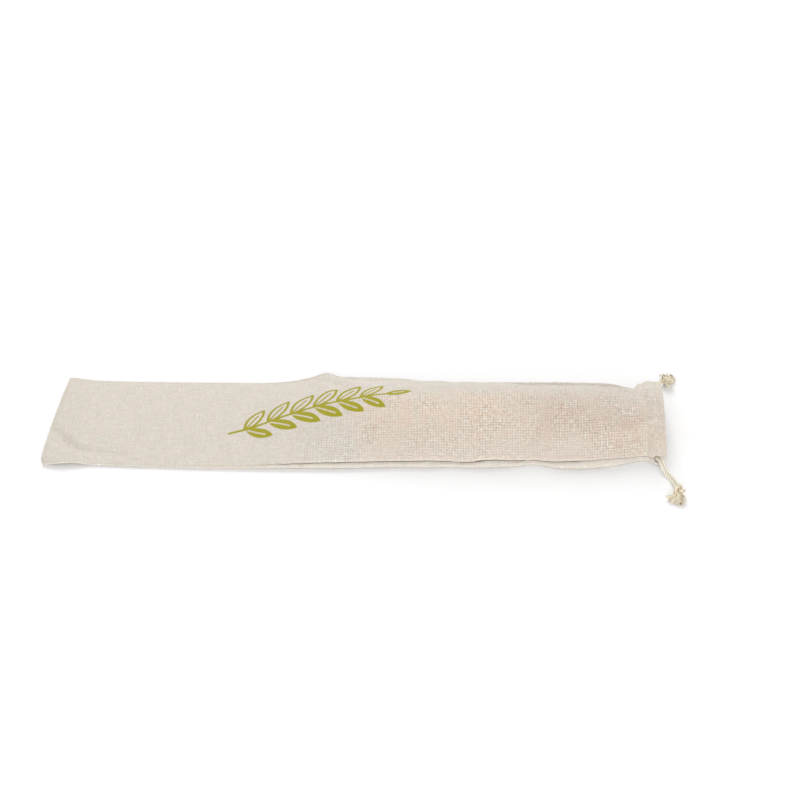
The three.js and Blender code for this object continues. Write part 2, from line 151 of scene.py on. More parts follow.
# The far seam stands up as a welt, with a furrow beside it.
FAR_WELT = {"from_edge": 2.6, "half_width": 3.6, "height": 1.7}
FAR_FURROW = {"from_edge": 13.5, "half_width": 12.0, "depth": 4.4}
FAR_WELT_RUN = {"start": 425.0, "over": 115.0, "end": 641.0, "end_over": 8.0}
WELT_WAVER = {"share": 0.25, "pitch": 41.0}
PUCKER = {"height": 0.32, "flat_share": 0.4, "reach": 8.0, "pitch": 7.3}
# The two rows of stitches that hold the channel of the drawcord, and what it gathers
CHANNEL = (641.0, 655.0)
CHANNEL_GROOVE = {"depth": 1.0, "half_width": 2.2}
GATHER = {"height": 0.55, "pitch": 9.0, "stretch": 0.25, "reach": 22.0}
# How the back panel's hem swells inwards over the drawcords that run in it, most where they come out
HEM_SWELL = {"half_width": 9.0, "height": 2.4, "end_height": 5.0}
HEM_SWELL_LINE = {"near": (652.0, 11.0), "far": (650.3, 132.0)}
HEM_SWELL_TAPER = {"end_over": 3.0, "from": 9.0, "over": 26.0}
OFF_FLOOR = 3.0  # height at which the back panel is clear of the surface it lies on
RIM_ANGLE = 50.0  # edges that turn by less, in degrees, look smooth

# Spacing of the grid lines: each row is where a stretch ends and its spacing there
FRONT_STATIONS = [(12, 1.2), (180, 2.2), (390, 1.25), (600, 1.9), (LENGTH, 1.0)]
BACK_STATIONS = [(12, 1.5), (600, 2.6), (LENGTH, 1.4)]
# Steps of the grids across each panel, and what share of the front panel lies close to a seam
FRONT_EDGE_STEPS = 6
FRONT_EDGE_SHARE = 0.03
FRONT_MIDDLE_STEPS = 92
ROLL_STEPS = 15
FLAT_STEPS = 34

# Middle line between the two strands of each drawcord, from inside the hem to the knot, then how its end is
# frayed: where it points in radians from +X, how wide it fans out and how dark its darkest fibres are
NEAR_ROUTE = [
    (649.6, 15.8, 4.4),
    (651.2, 10.2, 5.9),
    (652.6, 5.0, 6.8),
    (653.9, -0.2, 6.0),
    (655.4, -5.4, 4.0),
    (657.8, -10.6, 2.2),
    (660.9, -15.8, 1.6),
    (663.4, -22.4, 1.6),
    (665.2, -29.6, 2.6),
    (666.2, -36.4, 4.2),
]
NEAR_KNOT = [(667.0, -43.4, 6.8), (666.2, -49.4, 4.6)]
NEAR_FRAY = {"heading": -2.05, "fan": 2.0, "darkest": 0.45}
FAR_ROUTE = [
    (650.6, 123.5, 4.4),
    (652.0, 131.5, 4.4),
    (653.8, 138.0, 4.7),
    (656.2, 143.8, 5.3),
    (659.4, 148.4, 5.4),
    (663.2, 151.4, 3.8),
    (666.6, 152.8, 3.2),
    (669.4, 153.4, 4.2),
]
FAR_KNOT = [(676.4, 153.6, 6.8), (680.0, 158.0, 4.6)]
FAR_FRAY = {"heading": 1.7, "fan": 1.5, "darkest": 1.0}
CORD_PLIES = {"count": 3, "pitch": 12.0, "softness": 0.3, "sides": 24, "step": 0.5}

# The view: focal length in pixels of an 800 pixel frame, and where the camera looks
VIEW = {"focal": 1800.0, "frame": 800.0, "elevation": 35.759, "turn": 0.704, "distance": 2002.7}
VIEW_TARGET = (375.34, 121.70, 0.0)
SENSOR = 36.0


def placed(points):
    """Points of the bag's own frame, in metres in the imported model's frame."""
    return (np.asarray(points, float) - MIDDLE) * MM


def clamp(value):
    return np.clip(value, 0.0, 1.0)


def ease(value):
    return clamp(value) ** 2 * (3 - 2 * clamp(value))


def mix(start, end, share):
    return start + (end - start) * share


def bell(value):
    return np.maximum(0.0, 1.0 - value * value) ** 2


def rising(value, start, length):
    """From 0 before a ramp to 1 after it. The ramp has its start and its length."""
    return ease((value - start) / length)


def falling(value, end, length):
    """From 1 before a ramp to 0 after it. The ramp has its end and its length."""
    return ease((end - value) / length)


def unit(vectors):
    return vectors / np.linalg.norm(vectors, axis=-1, keepdims=True)


def lengths_along(points):
    """Length from the first point of a path, or of each row of a grid, to each other point."""
    steps = np.linalg.norm(np.diff(points, axis=-2), axis=-1)
    return np.concatenate([np.zeros_like(steps[..., :1]), np.cumsum(steps, axis=-1)], axis=-1)


def points_at(places, lengths, values):
    """Values along a path at some lengths of it."""
    return np.stack([np.interp(places, lengths, values[:, k]) for k in range(3)], -1)


def angles_round(sides):
    return np.arange(sides) / sides * 2 * math.pi


def add_camera():
    turn, elevation = math.radians(VIEW["turn"]), math.radians(VIEW["elevation"])
    level = math.cos(elevation)
    back = Vector((math.sin(turn) * level, -math.cos(turn) * level, math.sin(elevation)))
    right = Vector((math.cos(turn), math.sin(turn), 0.0))
    up = back.cross(right)
    place = Vector(placed(VIEW_TARGET)) + back * VIEW["distance"] * MM
    bpy.ops.object.camera_add()
    camera = bpy.context.object
    camera.data.sensor_width = SENSOR
    camera.data.lens = VIEW["focal"] / VIEW["frame"] * SENSOR
    turned = Matrix((right, up, back)).transposed().to_4x4()
    camera.matrix_world = Matrix.Translation(place) @ turned
    bpy.context.scene.camera = camera


# Shape of the cloth


def column_curve(xs, ys, x):
    """A smooth curve through a column of the sections that never overshoots its rows."""
    slopes = np.diff(ys) / np.diff(xs)
    before, after = slopes[:-1], slopes[1:]
    same_way = before * after > 0
    total = np.where(same_way, before + after, 1.0)
    inner = np.where(same_way, 2 * before * after / total, 0.0)
    tangents = np.concatenate([slopes[:1], inner, slopes[-1:]])
    i = np.clip(np.searchsorted(xs, x) - 1, 0, len(xs) - 2)
    span = xs[i + 1] - xs[i]
    t = (x - xs[i]) / span
    rise = ys[i + 1] - ys[i]
    a, b = tangents[i] * span, tangents[i + 1] * span
    return ys[i] + t * (a + t * (3 * rise - 2 * a - b + t * (a + b - 2 * rise)))


def section_at(x):
    columns = np.array(SECTIONS, float).T
    return {name: column_curve(columns[0], column, x) for name, column in zip(SECTION_COLUMNS, columns)}


def fold_height(folds, x, y):
    """Height that a table of folds adds to the front panel."""
    height = 0.0
    for row in folds:
        fold = dict(zip(FOLD_COLUMNS, row))
        run_x, run_y = fold["to_x"] - fold["from_x"], fold["to_y"] - fold["from_y"]
        from_x, from_y = x - fold["from_x"], y - fold["from_y"]
        along = clamp((from_x * run_x + from_y * run_y) / (run_x**2 + run_y**2))
        away = np.hypot(from_x - along * run_x, from_y - along * run_y)
        height = height + fold["height"] * bell(away / fold["half_width"])
    return height


# Each row is a wave of the cloth's unevenness: how fast it runs along X and along Y, and where it starts.
WAVES = [(0.83, 0.31, 0.4), (-0.42, 0.79, 2.1), (0.57, -0.66, 4.2), (1.27, 0.91, 1.3), (-1.13, 0.37, 5.5)]
WAVES_TOGETHER = 3.0


def unevenness(x, y, pitch):
    """A soft, repeatable unevenness between about -1 and 1, with bumps about pitch apart."""
    u, v = 2 * math.pi * x / pitch, 2 * math.pi * y / pitch
    return sum(np.sin(by_x * u + by_y * v + start) for by_x, by_y, start in WAVES) / WAVES_TOGETHER


def waver(x, uneven):
    """A factor that wavers about 1 along the bag."""
    return 1 + uneven["share"] * unevenness(x, 0 * x, uneven["pitch"])


def tent_height(section, y):
    """Height of the front panel above its section's seams: a rounded ridge with straight flanks."""
    near = y < section["crown_y"]
    seam_y = np.where(near, section["near_y"], section["far_y"])
    seam_z = np.where(near, section["near_z"], section["far_z"])

    def drop(at):
        return np.hypot(at - section["crown_y"], section["crown_round"]) - section["crown_round"]

    return section["crown_z"] - (section["crown_z"] - seam_z) * drop(y) / drop(seam_y)


def settle(x, y, z, back_share):
    """Moves points of plain sections to the bag's real outline and lifts the near edge by the corner."""
    across = clamp(y / WIDTH)
    corner = CLOSED_END["corner"] * ease(1 - y / CLOSED_END["corner_width"])
    end = mix(CLOSED_END["near"], CLOSED_END["far"], across**2) + corner
    mouth = MOUTH_END["far"] * across**3 + MOUTH_END["crown"] * np.sin(math.pi * across)
    settled_x = (
        x
        + end * ease(1 - x / CLOSED_END["reach"])
        + mouth * ease((x - LENGTH) / MOUTH_END["reach"] + 1)
        + MOUTH_END["back"] * back_share * ease((x - LENGTH) / MOUTH_END["back_reach"] + 1)
    )
    lift = mix(EDGE_LIFT["front"], EDGE_LIFT["back"], back_share)
    away = np.hypot(settled_x - EDGE_LIFT["x"], y - EDGE_LIFT["y"])
    return np.stack(np.broadcast_arrays(settled_x, y, z + lift * bell(away / EDGE_LIFT["radius"])), -1)


def lifted_seam(x):
    """How far the near seam is lifted off the surface, from 0 where it lies flat to 1."""
    eased = mix(1.0, SEAM_EASED["share"], rising(x, SEAM_EASED["start"], SEAM_EASED["over"]))
    lift = section_at(x)["near_z"] - SEAM["flat_height"]
    return eased * ease(lift / (SEAM["height"] - SEAM["flat_height"]))


def edge_gap(x, slit, panel):
    """How far a panel's edge lies from its side seam: sewn close, but drawn back at its slit."""
    opened = rising(x, slit["start"], slit["ease"]) * falling(x, slit["end"], slit["ease"])
    return mix(mix(SEAM["flat_gap"], SEAM["gap"], lifted_seam(x)) / 2, slit[panel], opened)


def outward(points):
    """Unit normals of a grid of points, on the side from which its rows run round to the left."""
    return unit(np.cross(np.gradient(points, axis=0), np.gradient(points, axis=1)))


def sewn_relief(x, from_edge):
    """How the sewn edges change a panel's surface: it turns in at the seam and puckers beside it,
    most where the seam lies off the surface."""
    lifted = lifted_seam(x)
    depth = mix(SEAM["flat_depth"], SEAM["depth"], lifted) * waver(x, SEAM_WAVER)
    turned_in = depth * bell(from_edge / SEAM_TURN["width"])
    turned_in = np.maximum(turned_in, SEAM_TURN["end_depth"] * bell(x / SEAM_TURN["width"]))
    height = PUCKER["height"] * mix(PUCKER["flat_share"], 1.0, lifted)
    puckers = height * unevenness(x, from_edge, PUCKER["pitch"])
    return puckers * bell(from_edge / PUCKER["reach"]) - turned_in


def hem_relief(x, across):
    """How the rows of stitches and the gathered cord change a panel's surface near the mouth."""
    relief = CORD_RIDGE["height"] * bell((x - CORD_LINE) / CORD_RIDGE["half_width"])
    for line in CHANNEL:
        relief = relief - CHANNEL_GROOVE["depth"] * bell((x - line) / CHANNEL_GROOVE["half_width"])
    gathers = unevenness(GATHER["stretch"] * x, across, GATHER["pitch"])
    return relief + GATHER["height"] * gathers * bell((x - CORD_LINE) / GATHER["reach"])


def front_middle(x, share):
    """Middle of the front panel at sections x and shares of the way from its near to its far seam."""
    section = section_at(x)
    near_y, far_y = section["near_y"], section["far_y"]
    near_slope = tent_height(section, near_y + 1) - tent_height(section, near_y)
    far_slope = tent_height(section, far_y) - tent_height(section, far_y - 1)
    near_cut = edge_gap(x, NEAR_SLIT, "front") / np.hypot(1, near_slope)
    far_cut = edge_gap(x, FAR_SLIT, "front") / np.hypot(1, far_slope)
    y = mix(near_y + near_cut, far_y - far_cut, share)
    fade = EDGE_FADE * (far_y - near_y)
    inside = ease((y - near_y) / fade) * ease((far_y - y) / fade)
    folds = fold_height(FOLDS, x, y) + RUMPLE["height"] * unevenness(x, y, RUMPLE["pitch"])
    height = tent_height(section, y) + folds * inside + fold_height(CREASES, x, y)
    return settle(x, y, np.maximum(STACKED, height), 0.0)


def rolled_edge(section, seam_y, seam_z, out):
    """Bezier handles of the back panel's rolled edge, from its seam to the surface it lies on."""
    height = seam_z - FLOOR
    flank = tent_height(section, seam_y) - tent_height(section, seam_y - out)
    handle = EDGE_ROLL["bulge"] * height
    run = handle / np.hypot(1, flank)
    foot_y = seam_y - out * EDGE_ROLL["foot"] * height
    floor = np.full_like(seam_y, FLOOR)
    return [
        np.stack([seam_y, seam_z], -1),
        np.stack([seam_y + out * run, seam_z + flank * run], -1),
        np.stack([foot_y + out * handle, floor], -1),
        np.stack([foot_y, floor], -1),
    ]


def bezier(handles, t):
    a, b, c, d = handles
    return (1 - t) ** 3 * a + 3 * t * (1 - t) ** 2 * b + 3 * t**2 * (1 - t) * c + t**3 * d


def back_middle(x):
    """Middle of the back panel, from its far seam round under the bag to its near seam."""
    section = section_at(x)
    far = rolled_edge(section, section["far_y"], section["far_z"], 1)
    near = rolled_edge(section, section["near_y"], section["near_z"], -1)

    def along(roll, slit, i):
        first_handle = np.linalg.norm(roll[1] - roll[0], axis=-1)
        start = edge_gap(x, slit, "back") / (3 * first_handle)
        return bezier(roll, mix(start, 1, i / ROLL_STEPS)[..., None])

    columns = [along(far, FAR_SLIT, i) for i in range(ROLL_STEPS)]
    columns += [mix(far[3], near[3], i / FLAT_STEPS) for i in range(FLAT_STEPS + 1)]
    columns += [along(near, NEAR_SLIT, i) for i in reversed(range(ROLL_STEPS))]
    points = np.concatenate(columns, axis=1)
    return settle(x, points[..., 0], points[..., 1], 1.0)


def stations(stretches):
    """Places of the grid lines along the bag."""
    lines = [0.0]
    for end, spacing in stretches:
        steps = round((end - lines[-1]) / spacing)
        lines += list(np.linspace(lines[-1], end, steps + 1)[1:])
    return np.array(lines)[:, None]


def front_shares():
    edge = np.linspace(0, FRONT_EDGE_SHARE, FRONT_EDGE_STEPS + 1)
    middle = np.linspace(FRONT_EDGE_SHARE, 1 - FRONT_EDGE_SHARE, FRONT_MIDDLE_STEPS + 1)
    return np.concatenate([edge[:-1], middle, 1 - edge[::-1][1:]])[None, :]


# Making cloth meshes


def sheet_piece(name, outside, flat, layers):
    """A sheet of cloth from a grid: its outside points, its flat coordinates and its layers of cloth."""
    rows, columns = outside.shape[:2]
    bpy.ops.object.select_all(action="DESELECT")
    bpy.ops.mesh.primitive_grid_add(x_subdivisions=rows - 1, y_subdivisions=columns - 1, size=1)
    piece = bpy.context.object
    mesh = piece.data
    piece.name = mesh.name = name
    square = np.empty(len(mesh.vertices) * 3, np.float32)
    mesh.vertices.foreach_get("co", square)
    square = square.reshape(-1, 3)
    i = np.rint((square[:, 0] + 0.5) * (rows - 1)).astype(int)
    j = np.rint((square[:, 1] + 0.5) * (columns - 1)).astype(int)
    mesh.vertices.foreach_set("co", placed(outside[i, j]).astype(np.float32).ravel())
    corners = np.empty(len(mesh.loops), np.int32)
    mesh.loops.foreach_get("vertex_index", corners)
    mesh.uv_layers.active.name = "flat_cloth"
    uv = (flat[i, j] * MM)[corners]
    mesh.uv_layers.active.uv.foreach_set("vector", uv.astype(np.float32).ravel())
    group = piece.vertex_groups.new(name="layers")
    most = layers.max()
    for k, share in enumerate((layers[i, j] / most).tolist()):
        group.add([k], share, "REPLACE")
    return piece, (i, j), most


def thicken(piece, most_layers):
    """Gives a sheet its layers of cloth, inwards from its outside, with softly rounded rims."""
    solidify = piece.modifiers.new("cloth", "SOLIDIFY")
    solidify.thickness = CLOTH * most_layers * MM
    solidify.offset = -1
    solidify.vertex_group = "layers"
    bpy.ops.object.modifier_apply(modifier=solidify.name)
    piece.vertex_groups.clear()
    bpy.ops.object.shade_smooth_by_angle(angle=math.radians(RIM_ANGLE))


def attribute(piece, name, values):
    layer = piece.data.attributes.new(name, "FLOAT", "POINT")
    layer.data.foreach_set("value", values.astype(np.float32))


def cloth_layers(x):
    return 1 + ease((x - (LENGTH - HEM)) / HEM_STEP + 0.5)


def hem_swell(x, y):
    """Thickness that the drawcords add to the back panel's hem."""
    (near_x, near_y), (far_x, far_y) = HEM_SWELL_LINE["near"], HEM_SWELL_LINE["far"]
    inwards = np.minimum(y - near_y, far_y - y)
    taper = rising(inwards, HEM_SWELL_TAPER["from"], HEM_SWELL_TAPER["over"])
    height = mix(HEM_SWELL["end_height"], HEM_SWELL["height"], taper)
    height = height * ease(inwards / HEM_SWELL_TAPER["end_over"])
    off = np.abs(x - mix(near_x, far_x, (y - near_y) / (far_y - near_y)))
    return height * ease(2 - 2 * off / HEM_SWELL["half_width"])


def far_welt(x, from_far):
    """How the far seam's welt and furrow change the front panel's surface."""
    run = FAR_WELT_RUN
    along = rising(x, run["start"], run["over"]) * falling(x, run["end"], run["end_over"])
    welt = FAR_WELT["height"] * bell((from_far - FAR_WELT["from_edge"]) / FAR_WELT["half_width"])
    furrow = FAR_FURROW["depth"] * bell((from_far - FAR_FURROW["from_edge"]) / FAR_FURROW["half_width"])
    return along * (welt - furrow) * waver(x, WELT_WAVER)


def panel_grid(x, middle, hem_share=1.0, welted=False):
    """A panel's grid from its middle: its outside points and their flat coordinates."""
    across = lengths_along(middle)
    from_last = across[:, -1:] - across
    x = np.broadcast_to(x, across.shape)
    relief = sewn_relief(x, np.minimum(across, from_last)) + hem_relief(x, across) * hem_share
    if welted:
        relief = relief + far_welt(x, from_last)
    outside = middle + outward(middle) * (CLOTH / 2 + relief)[..., None]
    outside[..., 2] = np.maximum(outside[..., 2], 0.0)
    return outside, np.stack([x, across], -1)


def front_grid(x, share):
    """The front panel's grid, with its welt."""
    return panel_grid(x, front_middle(x, share), welted=True)


def back_grid(x):
    """The back panel's grid. Its hem stands out only where it is clear of the surface."""
    middle = back_middle(x)
    return panel_grid(x, middle, rising(middle[..., 2], FLOOR, OFF_FLOOR))


# How the front panel's looks change from place to place. Each row is a ramp along X, across Y or with the
# height of the crown: its start, its length, and the factors before and after it.
LOOKS = {
    "open_weave": [
        ("y", 2, 24, 0.55, 1.0),
        ("y", 50, 30, 1.0, 0.5),
        ("y", 82, 24, 1.0, 0.0),
        ("x", 560, 35, 1.0, 1.2),
        ("x", 618, 28, 1.0, 0.32),
        ("crown", 14, 24, 0.0, 1.0),
    ],
    # a warm tint over the hollow, partly the colour of the contents that showed through and partly painted
    # shade
    "tint_and_painted_shade": [
        ("y", 4, 34, 0.45, 1.0),
        ("y", 44, 44, 1.0, 0.0),
        ("x", 630, 14, 1.0, 0.7),
        ("crown", 31, 14, 0.0, 1.0),
    ],
    # painted light on the top of the hollow
    "painted_light": [("y", 20, 35, 0.35, 1.0), ("x", 465, 80, 1.0, 0.0)],
    # painted shade on the far flank
    "painted_far_shade": [("y", 66, 24, 0.0, 0.5), ("x", 350, 80, 0.0, 1.0), ("x", 620, 20, 1.0, 0.0)],
}
# By the mouth the tint with its painted shade changes across the panel, and the welt is kept free of the far
# flank's painted shade.
MOUTH_TINT_AND_SHADE = {"along": (585, 30), "across": (34, 20), "near": 1.2, "far": 0.5}
WELT_LOOK = {"along": (480, 50), "across": (102, 10)}


def cloth_looks(x, y, crown):
    """The front panel's looks, by the attribute that its material reads."""
    values = {"x": x, "y": y, "crown": crown}
    looks = {}
    for name, ramps in LOOKS.items():
        looks[name] = 1.0
        for axis, start, length, before, after in ramps:
            looks[name] = looks[name] * mix(before, after, rising(values[axis], start, length))
    by_mouth = mix(MOUTH_TINT_AND_SHADE["near"], MOUTH_TINT_AND_SHADE["far"], rising(y, *MOUTH_TINT_AND_SHADE["across"]))
    looks["tint_and_painted_shade"] = looks["tint_and_painted_shade"] * mix(1.0, by_mouth, rising(x, *MOUTH_TINT_AND_SHADE["along"]))
    on_welt = rising(x, *WELT_LOOK["along"]) * rising(y, *WELT_LOOK["across"])
    looks["painted_far_shade"] = looks["painted_far_shade"] * (1 - on_welt)
    return looks


def front_panel():
    x, share = stations(FRONT_STATIONS), front_shares()
    outside, flat = front_grid(x, share)
    layers = np.broadcast_to(cloth_layers(x), outside.shape[:2])
    piece, (i, j), most = sheet_piece("front_panel", outside, flat, layers)
    attribute(piece, "ink", sprig_distance(flat[i, j]))
    crown = section_at(x)["crown_z"]
    for name, values in cloth_looks(x[i, 0], outside[i, j, 1], crown[i, 0]).items():
        attribute(piece, name, values)
    thicken(piece, most)
    return piece


def back_panel():
    x = stations(BACK_STATIONS)
    outside, flat = back_grid(x)
    layers = cloth_layers(x) + hem_swell(x, outside[..., 1]) / CLOTH
    piece, _, most = sheet_piece("back_panel", outside, flat, layers)
    thicken(piece, most)
    return piece


# The printed sprig


SPRIG = {"start": (192.0, 50.0), "end": (366.0, 84.0), "bow": 6.0, "stem": 1.6, "stem_points": 25}
LEAF = {"length": 38.0, "width": 14.0, "lean": 0.72, "outline": 1.5, "vein": 1.0, "vein_reach": 0.72}
# Where the leaves sit along the stem, as shares of it, and their sizes, largest in its middle
LEAVES = {"count": 7, "first": 0.1, "spread": 0.86, "smallest": 0.72, "size_start": 0.15, "size_run": 0.8}
STEM_STEP = 0.01  # share of the stem over which its heading is taken
FAR_AWAY = 1000.0


def segment_distance(points, start, end):
    run = np.subtract(end, start)
    along = clamp((points - start) @ run / (run @ run))
    return np.linalg.norm(points - start - along[:, None] * run, axis=1)


def sprig_distance(points):
    """Distance in millimetres from the nearest printed line or leaf, below zero inside it."""
    start, end = np.array(SPRIG["start"]), np.array(SPRIG["end"])
    heading = end - start
    side = unit(np.array([-heading[1], heading[0]]))

    def stem_point(share):
        return start + heading * share + side * SPRIG["bow"] * math.sin(math.pi * share)

    stem = [stem_point(share) for share in np.linspace(0, 1, SPRIG["stem_points"])]
    nearest = np.full(len(points), FAR_AWAY)
    for a, b in zip(stem, stem[1:]):
        nearest = np.minimum(nearest, segment_distance(points, a, b) - SPRIG["stem"])
    last = LEAVES["count"] - 1
    for k in range(LEAVES["count"]):
        share = LEAVES["first"] + LEAVES["spread"] * k / last
        root = stem_point(share)
        along = stem_point(share + STEM_STEP) - root
        bearing = math.atan2(along[1], along[0])
        middling = math.sin(math.pi * min(1.0, LEAVES["size_start"] + share * LEAVES["size_run"]))
        size = mix(LEAVES["smallest"], 1.0, middling)
        turns = (0.0,) if k == last else (LEAF["lean"], -LEAF["lean"])
        for turn in turns:
            nearest = np.minimum(nearest, leaf_distance(points, root, bearing + turn, size, turn <= 0))
    return nearest


def leaf_distance(points, root, bearing, size, filled):
    """A pointed leaf from its root: filled with a light vein, or drawn as an outline with a vein."""
    ahead = np.array([math.cos(bearing), math.sin(bearing)])
    beside = np.array([-ahead[1], ahead[0]])
    length, half = LEAF["length"] * size, LEAF["width"] * size / 2
    middle = root + ahead * length / 2
    p = np.abs((points - middle) @ beside)
    q = (points - middle) @ ahead
    # Two arcs that meet at the leaf's root and tip
    radius = (length**2 / 4 + half**2) / (2 * half)
    edge = np.hypot(p + radius - half, q) - radius
    vein = segment_distance(points, root, root + ahead * length * LEAF["vein_reach"])
    if filled:
        return np.maximum(edge, LEAF["vein"] - vein)
    return np.minimum(np.abs(edge) - LEAF["outline"], np.maximum(vein - LEAF["vein"], edge))


# Drawcords and knots


PATH_STEPS = 24  # between two points of a route
ANY_WAY = (0.31, 0.17, 0.93)  # a direction that no path starts along


def smooth_path(points, step):
    """A smooth line through points, with a point every step."""
    points = np.array(points, float)
    ends = np.concatenate([[2 * points[0] - points[1]], points, [2 * points[-1] - points[-2]]])
    t = np.linspace(0, 1, PATH_STEPS, endpoint=False)[:, None]
    line = []
    for a, b, c, d in zip(ends, ends[1:], ends[2:], ends[3:]):
        line.append(b + 0.5 * t * (c - a + t * (2 * a - 5 * b + 4 * c - d + t * (3 * (b - c) + d - a))))
    line = np.concatenate(line + [points[-1:]])
    lengths = lengths_along(line)
    places = np.linspace(0, lengths[-1], max(2, round(lengths[-1] / step)) + 1)
    return points_at(places, lengths, line)


def frames_along(path):
    """Two directions across a path at each of its points, which turn with it as little as they can."""
    tangents = unit(np.gradient(path, axis=0))
    across = np.cross(tangents[0], ANY_WAY)
    sides = []
    for tangent in tangents:
        across = unit(across - tangent * (across @ tangent))
        sides.append(across)
    sides = np.array(sides)
    return sides, np.cross(tangents, sides)


def tube_points(path, radius, sides):
    """Rings of points round a path. radius is one number, or one for each ring and side."""
    first, second = frames_along(path)
    angles = angles_round(sides)
    radius = np.broadcast_to(radius, (len(path), sides))[..., None]
    cosines, sines = np.cos(angles)[None, :, None], np.sin(angles)[None, :, None]
    return path[:, None] + radius * (cosines * first[:, None] + sines * second[:, None])


def tube_faces(rings, sides, first=0):
    """Faces of a closed tube of rings, whose two ends are fans round the points after its rings."""
    faces = []
    for i in range(rings - 1):
        for j in range(sides):
            k = (j + 1) % sides
            faces.append((i * sides + j, i * sides + k, (i + 1) * sides + k, (i + 1) * sides + j))
    start, end, last = rings * sides, rings * sides + 1, (rings - 1) * sides
    for j in range(sides):
        k = (j + 1) % sides
        faces.append((start, k, j))
        faces.append((end, last + j, last + k))
    return [tuple(v + first for v in face) for face in faces]


def tubes_piece(name, tubes):
    """One piece from several tubes, each a path, its radius, its number of sides and how dark it is."""
    vertices, faces, ply_shades_and_tones = [], [], []
    for path, radius, sides, dark in tubes:
        rings = tube_points(path, radius, sides)
        rings[..., 2] = np.maximum(rings[..., 2], 0.0)
        faces += tube_faces(len(path), sides, len(vertices))
        vertices += list(rings.reshape(-1, 3)) + [path[0], path[-1]]
        # Painted shade in the grooves between the plies, from how far each point lies in from the rim, plus
        # each tube's own darker tone
        depth = 1 - np.broadcast_to(radius, rings.shape[:2]) / np.max(radius, axis=1, keepdims=True)
        ply_shades_and_tones += list(depth.ravel() + dark) + [dark, dark]
    piece = mesh_piece(name, vertices, faces)
    attribute(piece, "ply_shade_and_fibre_tone", np.array(ply_shades_and_tones))
    return piece


def mesh_piece(name, vertices, faces):
    mesh = bpy.data.meshes.new(name)
    mesh.from_pydata(placed(vertices).tolist(), [], faces)
    mesh.shade_smooth()
    piece = bpy.data.objects.new(name, mesh)
    bpy.context.scene.collection.objects.link(piece)
    return piece


def ply_radius(path, turn=0.0):
    """Radius round a twisted cord: its plies lie side by side, each a round yarn."""
    sides, count = CORD_PLIES["sides"], CORD_PLIES["count"]
    whole = CORD_DIAMETER / 2
    ply = whole * math.sin(math.pi / count) / (1 + math.sin(math.pi / count))
    twist = 2 * math.pi * lengths_along(path)[:, None] / CORD_PLIES["pitch"]
    angle = angles_round(sides)[None, :] - twist + turn
    sector = 2 * math.pi / count
    off = np.abs((angle + sector / 2) % sector - sector / 2)
    off_centre = whole - ply
    inside = np.maximum(0.0, ply**2 - (off_centre * np.sin(off)) ** 2)
    return mix(off_centre * np.cos(off) + np.sqrt(inside), whole, CORD_PLIES["softness"])


def strand_path(route, side):
    """Middle of one of the two strands of a drawcord."""
    line = np.array(route, float)
    heading = np.gradient(line, axis=0)
    across = unit(np.stack([heading[:, 1], -heading[:, 0]], -1))
    line[:, :2] += side * (CORD_DIAMETER + CORD_GAP) / 2 * across
    return smooth_path(line, CORD_PLIES["step"])


def drawcord(prefix, route, knot, fray):
    """The two strands of a drawcord and the overhand knot with its frayed end."""
    knot_piece = cord_knot(prefix + "_knot_yarn", route, knot, fray)
    for letter, side in (("a", 1), ("b", -1)):
        path = strand_path(route, side)
        strand = (path, ply_radius(path), CORD_PLIES["sides"], 0.0)
        piece = tubes_piece(f"{prefix}_strand_{letter}", [strand])
        finish_piece(piece, twisted_cotton, "cotton_cord", f"{prefix}_cord_{letter}")
    finish_piece(knot_piece, knotted_cotton, "cotton_cord", f"{prefix}_knot")


# A knot's loops: how far they lie from its middle line and along it, how far the two strands are apart, and
# what is left open at their ends, in radians
KNOT = {"wrap": 3.5, "lobe": 2.0, "stretch": 3.7, "shift": 0.42, "open": 0.25, "points": 150}
# The loose fibres of a frayed end: their sizes, where they start, and how they spread, rise and curl
FRAY = {"fibres": 130, "shortest": 6.0, "longest": 12.5, "root": 0.75, "tip": 0.48, "steps": 9, "sides": 4}
FRAY_START = {"share": 0.75, "scatter": 1.3, "lowest": 0.8}
FRAY_SPREAD = {"evenness": 1.6, "rise": 3.4, "rise_power": 1.6, "curl": 2.0, "lift": 0.12, "dark_power": 3}
FRAY_SEED = 7
# Each row is a point of a fibre: its share of the fibre's length, curl and rise.
FIBRE_POINTS = [(0.35, 0.5, 0.4), (0.7, 0.8, 0.75), (1.0, 1.0, 1.0)]


def cord_knot(name, route, knot, fray):
    """An overhand knot in both strands, which run on into it, with the plies of their ends frayed out."""
    start, end = np.array(route[-1], float), np.array(knot[-1], float)
    middle = (np.array(knot[0], float) + (start + end) / 2) / 2
    ahead = unit(end - start)
    beside = unit(np.cross((0.0, 0.0, 1.0), ahead))
    above = np.cross(ahead, beside)
    tubes = []
    for k in range(2):
        t = np.linspace(KNOT["open"], 2 * math.pi - KNOT["open"], KNOT["points"])
        t = t + KNOT["shift"] * (k - 0.5)
        wide = KNOT["wrap"] + KNOT["lobe"] * np.cos(3 * t)
        lobes = np.stack([KNOT["stretch"] * np.sin(3 * t), wide * np.cos(2 * t), wide * np.sin(2 * t)], -1)
        loops = middle + lobes @ np.array([ahead, beside, above])
        last = strand_path(route, 2 * k - 1)[-2:]
        run_in = smooth_path([last[0], last[1], mix(last[1], middle, 0.5), middle], CORD_PLIES["step"])
        for path in (loops, run_in):
            tubes.append((path, ply_radius(path, k), CORD_PLIES["sides"], 0.0))
    tubes += frayed_fibres(middle, end, fray)
    return tubes_piece(name, tubes)


